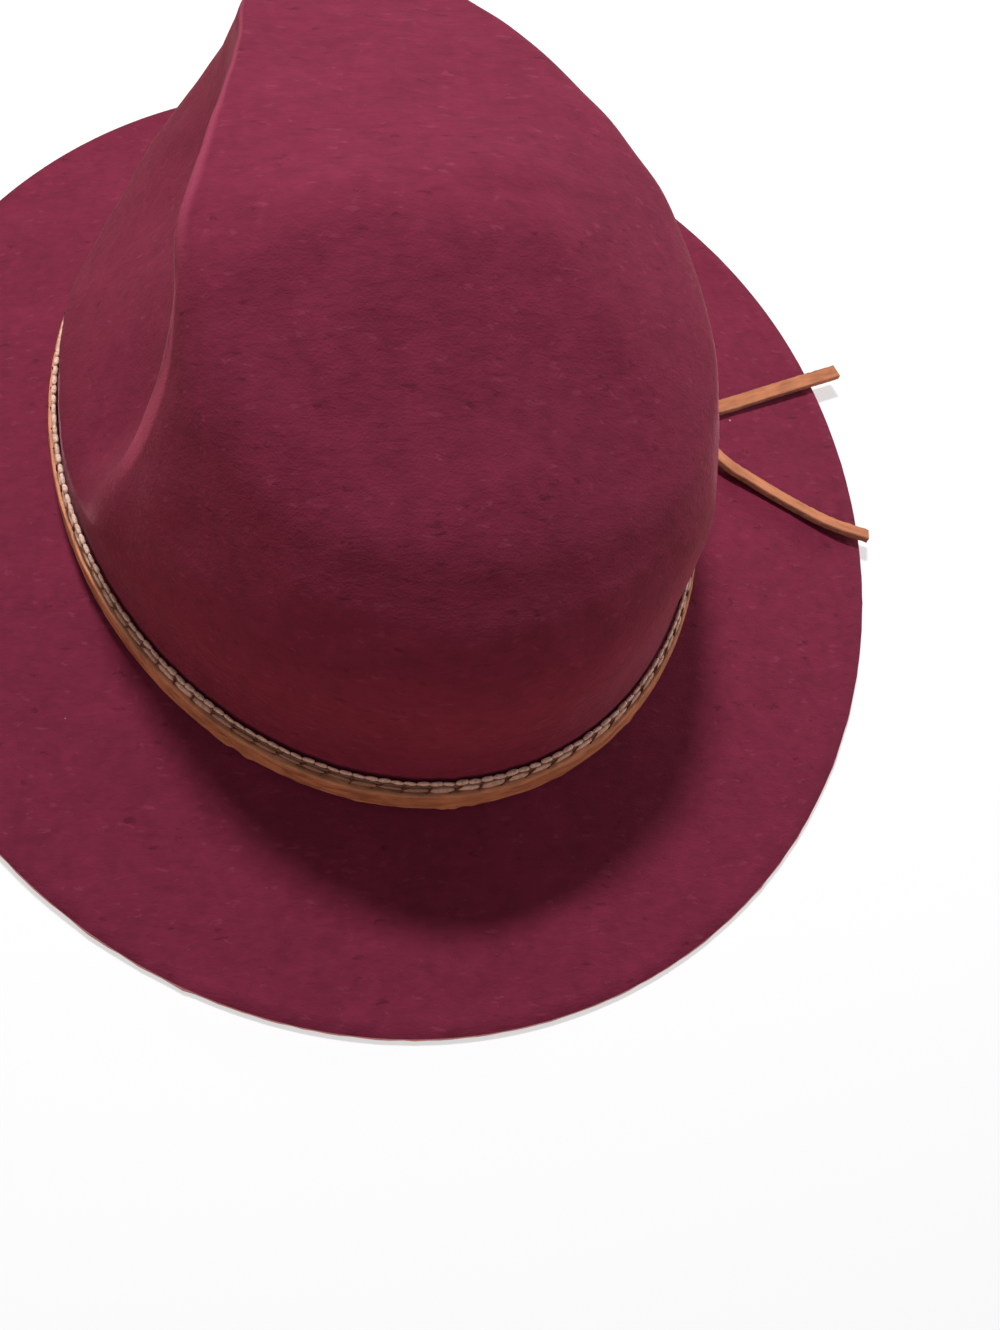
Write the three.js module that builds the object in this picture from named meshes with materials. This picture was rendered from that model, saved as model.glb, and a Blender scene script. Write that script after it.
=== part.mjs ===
// A pinch-front wool felt fedora with a laced leather band tied at the side.
// Millimetres, +Z up. The front of the hat looks along -Y and the wearer's left is +X.
// The hat stands on its brim: the flat of the brim's underside lies on Z = 0.

import * as THREE from 'three';

// ---------------------------------------------------------------- driving sizes

const FELT = 2;                    // thickness of the felt
const HEAD = { halfLength: 106.5, halfWidth: 84.2 };    // outside of the crown where it meets the brim
const BREAK_HEIGHT = 13.5;         // top of the brim where it turns up into the crown
const BRIM_WIDTH = { front: 47, back: 55.5, left: 56, right: 57 };
const BRIM_EDGE_FLAT = 4;          // width of the flat that the brim lies on
const BRIM_SIDE_LIFT = 2.2;        // how far the brim's edge rises at the two sides
const BRIM_LYING_ARC = 0.3;        // sine squared of the angle from front or back up to which the edge lies
const BRIM_SWEEP = 1.3;            // above 1, the brim is steeper beside the crown than at its edge
const CREASE_TURN = THREE.MathUtils.degToRad(6.5);    // the crease points a little to the wearer's right
const CREST_BOW = 0.0125;          // how fast the crest bends back on the wearer's left, per mm
const WALL_LEAN = 0.16;            // inward lean of the wall behind the band, per mm of height
const WALL_FOOT = 3;               // height above the break where that lean begins
const WALL_BEND = 18;              // and where it ends
const BAND_LEAN = 0.115;           // inward lean of the band
const FOOT_INSET = 3.2;            // how far the top of the wall's upright foot stands in
const PIECE_GAP = 0.3;             // clearance between pieces that touch on the real hat

const STRAP = { bottom: 15.2, height: 6.4, thick: 2.4, crown: 0.5 };
const LACING = { height: 5.0, thick: 1.5, crown: 0.6 };
const KNOT = { around: 262, length: 15, height: 9, thick: 5.3, middle: 18.6 };
const TIE = { width: 4.4, thick: 1.8, steps: 14 };

const AROUND_STEPS = 64;           // columns of faces round the hat

// ---------------------------------------------------------------- tables

// The crease ridge, a row for each section round the crown, seen before CREASE_TURN.
//   around   degrees round the head oval, from the front by the wearer's left
//   x, y     where the ridge passes
//   height   of the ridge
//   foot     height of the upright wall above the break
//   hollow   how far the wall is pinched in at its waist (below zero: bulged out)
//   waist    how far up from foot to ridge the waist is, as a share
//   outer    roundness of the ridge towards the wall
//   inner    roundness of the ridge towards the top
const RIDGE = [
  { around: 0, x: -2, y: -88, height: 96.5, foot: 40, hollow: 0, waist: 0.53, outer: 9, inner: 10 },
  { around: 22, x: 17, y: -79, height: 97.5, foot: 35, hollow: 2, waist: 0.53, outer: 8, inner: 9 },
  { around: 45, x: 25, y: -50, height: 106.5, foot: 23, hollow: 14, waist: 0.5, outer: 7, inner: 8 },
  { around: 70, x: 34.5, y: -20, height: 113.5, foot: 22, hollow: 18, waist: 0.45, outer: 7, inner: 8 },
  { around: 84, x: 42, y: 0, height: 115.5, foot: 21, hollow: 19, waist: 0.38, outer: 7, inner: 9 },
  { around: 92, x: 46, y: 10, height: 113.5, foot: 22, hollow: 19, waist: 0.38, outer: 7, inner: 10 },
  { around: 98, x: 47.5, y: 17.5, height: 112, foot: 30, hollow: 15, waist: 0.38, outer: 7, inner: 12 },
  { around: 104, x: 48, y: 24.5, height: 110, foot: 40, hollow: 5, waist: 0.4, outer: 10, inner: 14 },
  { around: 112, x: 47.5, y: 32, height: 107.5, foot: 40, hollow: -1, waist: 0.5, outer: 15, inner: 17 },
  { around: 127, x: 44.5, y: 46, height: 103.5, foot: 44, hollow: -2, waist: 0.53, outer: 20, inner: 20 },
  { around: 146, x: 36, y: 62, height: 99, foot: 48, hollow: -2, waist: 0.53, outer: 23, inner: 24 },
  { around: 180, x: -2, y: 81, height: 95, foot: 50, hollow: -2, waist: 0.53, outer: 27, inner: 28 },
  { around: 214, x: -50, y: 67, height: 90, foot: 48, hollow: -2, waist: 0.53, outer: 24, inner: 25 },
  { around: 233, x: -63, y: 48, height: 91.5, foot: 44, hollow: -1, waist: 0.53, outer: 20, inner: 20 },
  { around: 250, x: -65.5, y: 27, height: 97, foot: 39, hollow: 0, waist: 0.53, outer: 16, inner: 18 },
  { around: 268, x: -63, y: 4, height: 103, foot: 33, hollow: 2, waist: 0.53, outer: 15, inner: 14 },
  { around: 289, x: -53, y: -18, height: 108.5, foot: 30, hollow: 6, waist: 0.53, outer: 12, inner: 12 },
  { around: 315, x: -41, y: -51, height: 104, foot: 28, hollow: 10, waist: 0.53, outer: 10, inner: 11 },
  { around: 338, x: -26, y: -79, height: 97.5, foot: 34, hollow: 2, waist: 0.53, outer: 9, inner: 10 },
];

// The middle line of the crown's top, from front to back: up to the crest, then down to the rear.
const SPINE = [
  { y: -100, height: 91 },
  { y: -60, height: 103 },
  { y: -28, height: 111.5 },
  { y: -5, height: 118 },
  { y: 8, height: 122.5 },
  { y: 17, height: 124.5 },
  { y: 27, height: 121.3 },
  { y: 43, height: 112.5 },
  { y: 60, height: 104 },
  { y: 76, height: 97 },
  { y: 84, height: 92.5 },
  { y: 110, height: 70 },
];
const POLE = { x: 0, y: 16 };      // where the columns of faces meet, on the crest

// The two loose ends of the tie, a row for each point from the knot outwards.
//   x, y, z  the middle of the lace
//   roll     how far the lace is turned about its own length, in degrees
const TIE_ENDS = {
  tie_end_upper: [
    { x: -92.1, y: 15.2, z: 16.2, roll: 0 },
    { x: -98, y: 13.7, z: 12.4, roll: 0 },
    { x: -106, y: 12.6, z: 10.25, roll: 0 },
    { x: -121.3, y: 10.3, z: 7.65, roll: 0 },
    { x: -136.2, y: 8.7, z: 6.3, roll: 0 },
    { x: -150.2, y: 7.9, z: 6.1, roll: 0 },
  ],
  tie_end_lower: [
    { x: -89.3, y: 22.3, z: 17.2, roll: -20 },
    { x: -96.6, y: 32.2, z: 12.3, roll: -20 },
    { x: -104, y: 39.9, z: 9.95, roll: -20 },
    { x: -111.3, y: 47.5, z: 8.25, roll: -20 },
    { x: -121.5, y: 57.2, z: 6.5, roll: -20 },
    { x: -131.6, y: 64.7, z: 5.9, roll: -20 },
  ],
};

// Parts of the way from the ridge to the pole where the top is laid out.
const TOP_STATIONS = [0.25, 0.48, 0.7, 0.88, 0.97];

// Faces that a column has at each of its control points, from the edge's flat to the pole.
const SPAN_FACES = { brim: [2, 1, 2, 2], wall: [2, 1, 2, 2, 2], ridge: [3], top: [2, 1, 1, 1, 1, 1] };

// ---------------------------------------------------------------- curves

// A smooth line through the rows of a table. Every other column is read where `key` equals `at`.
function readTable(rows, key, at) {
  let i = rows.findIndex((row) => row[key] > at) - 1;
  if (i < -1) i = rows.length - 2;
  i = Math.max(i, 0);
  const slope = (k, column) => {
    const a = rows[Math.max(k - 1, 0)];
    const b = rows[k];
    const c = rows[Math.min(k + 1, rows.length - 1)];
    const before = b[key] - a[key];
    const after = c[key] - b[key];
    if (before === 0) return (c[column] - b[column]) / after;
    if (after === 0) return (b[column] - a[column]) / before;
    return ((b[column] - a[column]) * after / before + (c[column] - b[column]) * before / after)
      / (before + after);
  };
  const width = rows[i + 1][key] - rows[i][key];
  const t = THREE.MathUtils.clamp((at - rows[i][key]) / width, 0, 1);
  const row = {};
  for (const column of Object.keys(rows[i])) {
    if (column === key) continue;
    row[column] = (1 + 2 * t) * (1 - t) ** 2 * rows[i][column]
      + t * (1 - t) ** 2 * width * slope(i, column)
      + t * t * (3 - 2 * t) * rows[i + 1][column]
      + t * t * (t - 1) * width * slope(i + 1, column);
  }
  return row;
}

// The ridge table with rows repeated past both ends, so that it closes round the crown.
const TURN = 360;
const RIDGE_ROUND = [
  ...RIDGE.slice(-2).map((row) => ({ ...row, around: row.around - TURN })),
  ...RIDGE,
  ...RIDGE.slice(0, 2).map((row) => ({ ...row, around: row.around + TURN })),
];

const spineHeight = (x, y) => readTable(SPINE, 'y', y - CREST_BOW * Math.max(x, 0) ** 2).height;

// From the frame of the crease to the frame of the hat.
function turned(x, y, z) {
  const c = Math.cos(CREASE_TURN);
  const s = Math.sin(CREASE_TURN);
  return new THREE.Vector3(c * x + s * y, c * y - s * x, z);
}

// A smooth curve drawn to a row of control points: parabolas that join halfway between them.
function drawn(points, faces) {
  const curve = [points[0].clone()];
  for (let i = 1; i < points.length - 1; i += 1) {
    const start = i === 1 ? points[0] : points[i - 1].clone().lerp(points[i], 0.5);
    const end = i === points.length - 2 ? points[i + 1] : points[i].clone().lerp(points[i + 1], 0.5);
    const parabola = new THREE.QuadraticBezierCurve3(start, points[i], end);
    for (let k = 1; k <= faces[i - 1]; k += 1) curve.push(parabola.getPoint(k / faces[i - 1]));
  }
  return curve;
}

// ---------------------------------------------------------------- felt

// The head oval at the break: a point on it and the way straight out from it.
function headOval(degrees) {
  const angle = THREE.MathUtils.degToRad(degrees);
  const { halfLength, halfWidth } = HEAD;
  const point = new THREE.Vector3(halfWidth * Math.sin(angle), -halfLength * Math.cos(angle), 0);
  const out = new THREE.Vector3(Math.sin(angle) / halfWidth, -Math.cos(angle) / halfLength, 0);
  return { point, out: out.normalize() };
}

function brimWidth(degrees) {
  const angle = THREE.MathUtils.degToRad(degrees);
  const lengthwise = Math.cos(angle) > 0 ? BRIM_WIDTH.front : BRIM_WIDTH.back;
  const sidewise = Math.sin(angle) > 0 ? BRIM_WIDTH.left : BRIM_WIDTH.right;
  return lengthwise * Math.cos(angle) ** 2 + sidewise * Math.sin(angle) ** 2;
}

function edgeLift(degrees) {
  const sideways = Math.sin(THREE.MathUtils.degToRad(degrees)) ** 2;
  const rise = Math.max(0, (sideways - BRIM_LYING_ARC) / (1 - BRIM_LYING_ARC));
  return BRIM_SIDE_LIFT * rise ** 1.5;
}

// The brim's upper side: its cut edge, then the control points from the edge's flat to the break.
function brimControls(degrees) {
  const { point, out } = headOval(degrees);
  const width = brimWidth(degrees);
  const edgeTop = FELT + edgeLift(degrees);
  const at = (reach, height) => point.clone().addScaledVector(out, reach).setZ(height);
  const slopeHeight = (reach) => edgeTop
    + (BREAK_HEIGHT - edgeTop) * (1 - reach / (width - BRIM_EDGE_FLAT)) ** BRIM_SWEEP;
  return [
    at(width, edgeTop),
    at(width - BRIM_EDGE_FLAT, edgeTop),
    at(0.62 * width, slopeHeight(0.62 * width)),
    at(0.3 * width, slopeHeight(0.3 * width)),
    at(5, slopeHeight(5)),
    at(0, BREAK_HEIGHT),
  ];
}

// Control points of the crown, from just above the break over the ridge to the pole.
function crownControls(degrees) {
  const { point, out } = headOval(degrees);
  const row = readTable(RIDGE_ROUND, 'around', degrees);
  const at = (inset, rise) => point.clone().addScaledVector(out, -inset).setZ(BREAK_HEIGHT + rise);
  const foot = at(FOOT_INSET, row.foot);
  const ridge = turned(row.x, row.y, row.height);
  const waist = foot.clone().lerp(ridge, row.waist).addScaledVector(out, -row.hollow);
  const shoulder = ridge.clone().lerp(waist, Math.min(row.outer / ridge.distanceTo(waist), 0.7));

  const reach = Math.hypot(row.x - POLE.x, row.y - POLE.y);
  const ridgeRise = row.height - spineHeight(row.x, row.y);
  const onTop = (t) => {
    const x = row.x + (POLE.x - row.x) * t;
    const y = row.y + (POLE.y - row.y) * t;
    return turned(x, y, spineHeight(x, y) + ridgeRise * (1 - t) ** 2);
  };
  const lip = Math.min(row.inner / reach, 0.45);
  const top = [lip, ...TOP_STATIONS.map((t) => lip + (1 - lip) * t)].map(onTop);
  const bend = at(WALL_LEAN * (WALL_BEND - WALL_FOOT), WALL_BEND);
  return [at(0, WALL_FOOT), bend, foot, waist, shoulder, ridge, ...top, onTop(1)];
}

// One column of the outer surface, from the brim's edge to the pole.
function outerColumn(degrees) {
  const faces = [...SPAN_FACES.brim, ...SPAN_FACES.wall, ...SPAN_FACES.ridge, ...SPAN_FACES.top];
  const [edge, ...brim] = brimControls(degrees);
  return [edge, ...drawn([...brim, ...crownControls(degrees)], faces)];
}

// The felt: the outer surface, the same surface one thickness further in, and the cut edge.
function feltShell() {
  const columns = [];
  for (let i = 0; i < AROUND_STEPS; i += 1) columns.push(outerColumn((i * TURN) / AROUND_STEPS));
  const rows = columns[0].length - 1;          // the pole is shared, so it is kept apart
  const pole = columns[0][rows];
  const wrap = (i) => (i + AROUND_STEPS) % AROUND_STEPS;

  const normalAt = (i, j) => {
    const along = columns[i][j + 1].clone().sub(columns[i][Math.max(j - 1, 0)]);
    const round = columns[wrap(i + 1)][j].clone().sub(columns[wrap(i - 1)][j]);
    return round.cross(along).normalize();
  };

  const positions = [];
  const put = (point) => positions.push(point.x, point.y, point.z);
  for (let i = 0; i < AROUND_STEPS; i += 1) {
    for (let j = 0; j < rows; j += 1) put(columns[i][j]);
  }
  for (let i = 0; i < AROUND_STEPS; i += 1) {
    for (let j = 0; j < rows; j += 1) {
      const inward = j < 2 ? new THREE.Vector3(0, 0, 1) : normalAt(i, j);
      put(columns[i][j].clone().addScaledVector(inward, -FELT));
    }
  }
  put(pole);
  put(pole.clone().setZ(pole.z - FELT));

  const inside = AROUND_STEPS * rows;
  const poles = { outer: 2 * inside, inner: 2 * inside + 1 };
  const index = [];
  const quad = (a, b, c, d) => index.push(a, b, c, a, c, d);
  for (let i = 0; i < AROUND_STEPS; i += 1) {
    const here = i * rows;
    const next = wrap(i + 1) * rows;
    for (let j = 0; j < rows - 1; j += 1) {
      quad(here + j, next + j, next + j + 1, here + j + 1);
      quad(inside + here + j, inside + here + j + 1, inside + next + j + 1, inside + next + j);
    }
    index.push(here + rows - 1, next + rows - 1, poles.outer);
    index.push(inside + next + rows - 1, inside + here + rows - 1, poles.inner);
    quad(here, inside + here, inside + next, next);
  }
  return closedBody(positions, index);
}

function closedBody(positions, index) {
  const geometry = new THREE.BufferGeometry();
  geometry.setAttribute('position', new THREE.Float32BufferAttribute(positions, 3));
  geometry.setIndex(index);
  geometry.computeVertexNormals();
  return geometry;
}

// ---------------------------------------------------------------- band

// How far the band stands in at a height, so that it follows the wall behind it.
const bandInset = (height) => BAND_LEAN * (height - STRAP.bottom);

// A ring round the foot of the crown. Its section is a list of { out, height }, turned round the oval.
function ring(section) {
  const positions = [];
  const index = [];
  const corners = section.length;
  for (let i = 0; i < AROUND_STEPS; i += 1) {
    const { point, out } = headOval((i * TURN) / AROUND_STEPS);
    for (const corner of section) {
      const place = point.clone().addScaledVector(out, corner.out - bandInset(corner.height));
      positions.push(place.x, place.y, corner.height);
    }
    const next = (i + 1) % AROUND_STEPS;
    for (let k = 0; k < corners; k += 1) {
      const after = (k + 1) % corners;
      const [a, b] = [i * corners + k, next * corners + k];
      const [c, d] = [next * corners + after, i * corners + after];
      index.push(a, b, c, a, c, d);
    }
  }
  return closedBody(positions, index);
}

// A flat strip's section with a domed outer face, from its lower inner corner outwards and up.
function domedSection(bottom, { height, thick, crown }) {
  const back = PIECE_GAP;
  return [
    { out: back, height: bottom },
    { out: back + thick - crown, height: bottom },
    { out: back + thick, height: bottom + 0.25 * height },
    { out: back + thick, height: bottom + 0.75 * height },
    { out: back + thick - crown, height: bottom + height },
    { out: back, height: bottom + height },
  ];
}

// The knot of the tie: a rounded lump of leather on the outside of the band.
function knotLump() {
  const lump = new THREE.SphereGeometry(0.5, 14, 10);
  lump.scale(KNOT.length, KNOT.thick, KNOT.height);
  return lump;
}

// A tie end: a flat lace along its route, its broad side facing up.
function tieEnd(route) {
  const path = new THREE.CatmullRomCurve3(route.map(({ x, y, z }) => new THREE.Vector3(x, y, z)));
  const points = path.getPoints(TIE.steps);
  const positions = [];
  const index = [];
  points.forEach((point, i) => {
    const along = (i / TIE.steps) * (route.length - 1);
    const row = Math.min(Math.floor(along), route.length - 2);
    const roll = THREE.MathUtils.lerp(route[row].roll, route[row + 1].roll, along - row);
    const ahead = points[Math.min(i + 1, TIE.steps)].clone().sub(points[Math.max(i - 1, 0)]);
    ahead.normalize();
    const side = new THREE.Vector3(-ahead.y, ahead.x, 0).normalize()
      .applyAxisAngle(ahead, THREE.MathUtils.degToRad(roll));
    const up = ahead.clone().cross(side);
    for (const [across, over] of [[-1, -1], [1, -1], [1, 1], [-1, 1]]) {
      const corner = point.clone().addScaledVector(side, (across * TIE.width) / 2)
        .addScaledVector(up, (over * TIE.thick) / 2);
      positions.push(corner.x, corner.y, corner.z);
    }
    if (i === TIE.steps) return;
    for (let k = 0; k < 4; k += 1) {
      const [a, b] = [i * 4 + k, i * 4 + ((k + 1) % 4)];
      index.push(a, b, b + 4, a, b + 4, a + 4);
    }
  });
  const last = TIE.steps * 4;
  index.push(0, 3, 2, 0, 2, 1, last, last + 1, last + 2, last, last + 2, last + 3);
  return closedBody(positions, index);
}

// ---------------------------------------------------------------- assembly

const FELT_WINE = { color: 0x7a2640, roughness: 0.95, metalness: 0 };
const LEATHER_TAN = { color: 0xb8703a, roughness: 0.6, metalness: 0 };
const LACE_CREAM = { color: 0xd9bfa0, roughness: 0.75, metalness: 0 };

function piece(name, geometry, finish) {
  const mesh = new THREE.Mesh(geometry, new THREE.MeshStandardMaterial(finish));
  mesh.name = name;
  return mesh;
}

function hat() {
  const group = new THREE.Group();
  const lacingBottom = STRAP.bottom + STRAP.height + PIECE_GAP;
  group.add(piece('felt_body', feltShell(), FELT_WINE));
  group.add(piece('band_strap', ring(domedSection(STRAP.bottom, STRAP)), LEATHER_TAN));
  group.add(piece('band_lacing', ring(domedSection(lacingBottom, LACING)), LACE_CREAM));

  const knot = piece('band_knot', knotLump(), LEATHER_TAN);
  const seat = headOval(KNOT.around);
  const reach = 2 * PIECE_GAP + STRAP.thick - bandInset(KNOT.middle) + KNOT.thick / 2;
  knot.position.copy(seat.point).addScaledVector(seat.out, reach).setZ(KNOT.middle);
  knot.rotation.z = Math.atan2(seat.out.y, seat.out.x) + Math.PI / 2;
  group.add(knot);

  for (const [name, route] of Object.entries(TIE_ENDS)) {
    group.add(piece(name, tieEnd(route), LEATHER_TAN));
  }
  return group;
}

// The origin is the middle of the hat's footprint.
function centred(group) {
  const middle = new THREE.Box3().setFromObject(group).getCenter(new THREE.Vector3());
  group.position.set(-middle.x, -middle.y, 0);
  return group;
}

export default centred(hat());
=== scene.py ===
"""A wine-red wool felt fedora with a laced leather band, lying on its brim.

Metres in Blender, millimetres in the tables. The front of the hat looks along -Y, the wearer's left
is +X, and every place is counted from the middle of the head oval.
"""

import math

import bmesh
import bpy
import numpy as np
from mathutils import Matrix, Vector


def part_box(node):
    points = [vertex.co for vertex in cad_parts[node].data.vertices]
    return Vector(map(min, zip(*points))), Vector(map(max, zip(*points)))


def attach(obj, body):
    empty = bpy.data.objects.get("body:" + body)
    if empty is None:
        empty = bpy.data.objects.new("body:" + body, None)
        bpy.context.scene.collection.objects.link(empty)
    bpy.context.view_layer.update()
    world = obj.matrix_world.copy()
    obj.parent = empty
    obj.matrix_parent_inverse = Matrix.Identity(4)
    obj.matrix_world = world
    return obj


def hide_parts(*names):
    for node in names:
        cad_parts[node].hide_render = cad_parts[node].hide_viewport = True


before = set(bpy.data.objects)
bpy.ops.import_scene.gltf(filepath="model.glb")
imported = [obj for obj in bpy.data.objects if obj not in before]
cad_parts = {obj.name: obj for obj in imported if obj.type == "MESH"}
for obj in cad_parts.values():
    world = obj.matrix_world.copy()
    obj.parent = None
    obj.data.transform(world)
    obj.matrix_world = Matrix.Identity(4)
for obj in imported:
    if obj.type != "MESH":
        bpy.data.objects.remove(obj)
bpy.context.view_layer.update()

MM = 0.001
lowest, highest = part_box("band_strap")
HEAD_CENTRE = np.array([(lowest.x + highest.x) / 2, (lowest.y + highest.y) / 2, 0.0]) / MM
SEED = 7

# ---------------------------------------------------------------- sizes of the hat, in millimetres

FELT = 2.0                              # thickness of the felt
HEAD_LENGTH, HEAD_WIDTH = 106.5, 84.2   # half sizes of the head oval, outside the felt
BREAK = 13.5                            # height where the brim turns up into the crown
BRIM = {"front": 47.0, "back": 55.5, "left": 56.0, "right": 57.0}
BRIM_FLAT = 4.0                         # width of the flat that the brim lies on
BRIM_LIFT, LYING_ARC = 2.2, 0.3         # how far the sides of the brim lift, and where they begin to
LIFT_CURVE = 1.5                        # how slowly they begin
BRIM_SWEEP = 1.3                        # how hollow the brim's slope is: 1 would be straight
BRIM_BENDS = (0.62, 0.3)                # shares of the brim's width at which its slope is drawn
BRIM_INSIDE = 5.0                       # and its last point before it turns up
CREASE_TURN = math.radians(6.5)         # how far the crease is turned against the head oval
CREST_BOW = 0.0125                      # how fast the crest bends back on the left
CREST_SOFTENING = (-7, -3.5, 0, 3.5, 7)  # the crest is evened out over this stretch
WALL_LEAN, WALL_FOOT, WALL_BEND = 0.16, 3.0, 18.0  # lean of the wall behind the band, and its two ends
FOOT_INSET = 3.2                        # how far in the wall stands where it turns towards the ridge
SHOULDER_MOST, LIP_MOST = 0.7, 0.45     # the ridge's rounding never takes more of the wall or of the top
SECOND_LIP = 0.25                       # where the top is drawn next, as a share of the way to the pole
BAND_LEAN = 0.115                       # how far the band leans in, for each millimetre up
PIECE_GAP = 0.3

STRAP = {"bottom": 15.2, "height": 6.4, "thick": 2.4}
LACING = {"height": 5.0, "thick": 1.5}
TIE = {"width": 4.4, "thick": 1.8}
KNOT = {"around": 262.0, "length": 15.0, "height": 9.0, "thick": 5.3, "middle": 18.6}
KNOT_CORE = {"width": 5.2, "thick": 1.9, "bow": 1.2, "swing": 5, "end": 1.0}
KNOT_WRAP = {"width": 3.4, "thick": 1.5, "turns": 2.15, "spread": 5.8, "in_out": 0.85, "in_up": 0.9}
INTO_KNOT = 0.3                         # how far a tie end runs into the knot, as a share of its first step

# The crease ridge: degrees around, its x, y and height; how high above the break the wall turns towards
# it; how far the wall is pushed in there, and at what share of the way up to the ridge; and how far the
# ridge is rounded outside and inside
RIDGE = np.array([
    (0, -2, -88, 96.5, 40, 0, 0.53, 9, 10),
    (22, 17, -79, 97.5, 35, 2, 0.53, 8, 9),
    (45, 25, -50, 106.5, 23, 14, 0.50, 7, 8),
    (70, 34.5, -20, 113.5, 22, 18, 0.45, 7, 8),
    (84, 42, 0, 115.5, 21, 19, 0.38, 7, 9),
    (92, 46, 10, 113.5, 22, 19, 0.38, 7, 10),
    (98, 47.5, 17.5, 112, 30, 15, 0.38, 7, 12),
    (104, 48, 24.5, 110, 40, 5, 0.40, 10, 14),
    (112, 47.5, 32, 107.5, 40, -1, 0.5, 15, 17),
    (127, 44.5, 46, 103.5, 44, -2, 0.53, 20, 20),
    (146, 36, 62, 99, 48, -2, 0.53, 23, 24),
    (180, -2, 81, 95, 50, -2, 0.53, 27, 28),
    (214, -50, 67, 90, 48, -2, 0.53, 24, 25),
    (233, -63, 48, 91.5, 44, -1, 0.53, 20, 20),
    (250, -65.5, 27, 97, 39, 0, 0.53, 16, 18),
    (268, -63, 4, 103, 33, 2, 0.53, 15, 14),
    (289, -53, -18, 108.5, 30, 6, 0.53, 12, 12),
    (315, -41, -51, 104, 28, 10, 0.53, 10, 11),
    (338, -26, -79, 97.5, 34, 2, 0.53, 9, 10),
], float)

# The middle line of the crown's top: y, height
SPINE = np.array([
    (-100, 91), (-60, 103), (-28, 111.5), (-5, 118), (8, 122.5), (17, 124.5),
    (27, 121.3), (43, 112.5), (60, 104), (76, 97), (84, 92.5), (110, 70),
], float)
POLE = (0.0, 16.0)

# The pale line painted down the fold on the crown's left wall, a painted highlight where its facet catches
# the lamp: height, y, width in front of it, how strong
FOLD = np.array([
    (60, 25, 14, 0), (67, 26.2, 14, 0.35), (74, 27.3, 12, 0.9), (86, 28, 9, 1), (94, 26.4, 5, 0.9),
    (101, 22.8, 2.4, 0.7), (108.4, 15, 1.6, 0.4), (112, 12, 1.3, 0),
], float)
FOLD_ARC = (86, 122)                    # the stretch of the wall that it lies in, in degrees around
BEHIND_FOLD = 2.2                       # its width behind

# The pale line painted along the crease ridge, a painted highlight: around, width; and around, how strong
RIDGE_WIDTH = np.array([(60, 1.7), (84, 2.8)])
RIDGE_HIGHLIGHT = np.array([(4, 0), (16, 0.6), (40, 1), (88, 1), (100, 0)])

# The loose ends of the tie: how far each is rolled over in degrees, and its route: x, y, z
TIE_ENDS = {
    "tie_end_upper": (0, [
        (-92.1, 15.2, 16.2), (-98, 13.7, 12.4), (-106, 12.6, 10.25),
        (-121.3, 10.3, 7.65), (-136.2, 8.7, 6.3), (-150.2, 7.9, 6.1),
    ]),
    "tie_end_lower": (-20, [
        (-89.3, 22.3, 17.2), (-96.6, 32.2, 12.3), (-104, 39.9, 9.95),
        (-111.3, 47.5, 8.25), (-121.5, 57.2, 6.5), (-131.6, 64.7, 5.9),
    ]),
}

# How full the lacing is round the band: around, fullness
FULLNESS = np.array([
    (0, 0.8), (30, 0.85), (60, 1.0), (96, 1.0), (103, 0.45), (116, 0.45), (120, 0.85), (126, 0.85),
    (134, 0.15), (163, 0.15), (170, 0.85), (200, 0.8), (206, 0.6), (224, 0.6), (235, 0.8), (300, 0.8),
    (360, 0.8),
], float)

# Lumps on the raw lower edge of the strap: around, size
FRAYED = [
    (131.5, 0.35), (133.0, 0.5), (136.4, 0.55), (145, 0.2), (154, 0.25), (167.6, 0.4), (169.4, 0.5),
    (172.5, 0.3), (77, 0.3), (188, 0.2), (204, 0.3), (21, 0.4), (302, 0.4),
]
LUMP_WIDTH = 0.9                        # in degrees around

# ---------------------------------------------------------------- colours, as linear red, green, blue

BLACK, WHITE = (0, 0, 0), (1, 1, 1)
WINE_DEEP, WINE_BRIGHT = (0.141, 0.0129, 0.0345), (0.194, 0.0178, 0.0465)
# The dark flecks are painted shade of small pills and pits in the nap
PALE_FIBRES, PILL_SHADE = (0.34, 0.06, 0.12), (0.055, 0.004, 0.012)
# Painted light: a pale highlight for the ridge and the fold, and a pale glow for the brim's cut edge
PAINTED_HIGHLIGHT, CUT_EDGE_GLOW = (0.40, 0.06, 0.12), (0.55, 0.30, 0.32)
LINT = (0.80, 0.56, 0.55)
NAP_SHEEN = (1.0, 0.40, 0.52)
# The strap's hide is lighter than the tie's, partly painted light that lifts the shade on the band
STRAP_HIDE = {"grain_side": (0.50, 0.19, 0.09), "cut_side": (0.74, 0.31, 0.165), "dark": (0.27, 0.09, 0.04)}
TIE_HIDE = {"grain_side": (0.47, 0.172, 0.078), "cut_side": (0.44, 0.18, 0.105), "dark": (0.37, 0.125, 0.055)}
CREAM_DEEP, CREAM_PALE = (0.66, 0.40, 0.31), (0.90, 0.65, 0.53)
# The dim lace colour is painted shade for the loose lower strands
SHADED_LACE, BROWN_THREAD_AND_SLIT_SHADE = (0.30, 0.125, 0.065), (0.12, 0.04, 0.022)

# ---------------------------------------------------------------- curves


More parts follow.
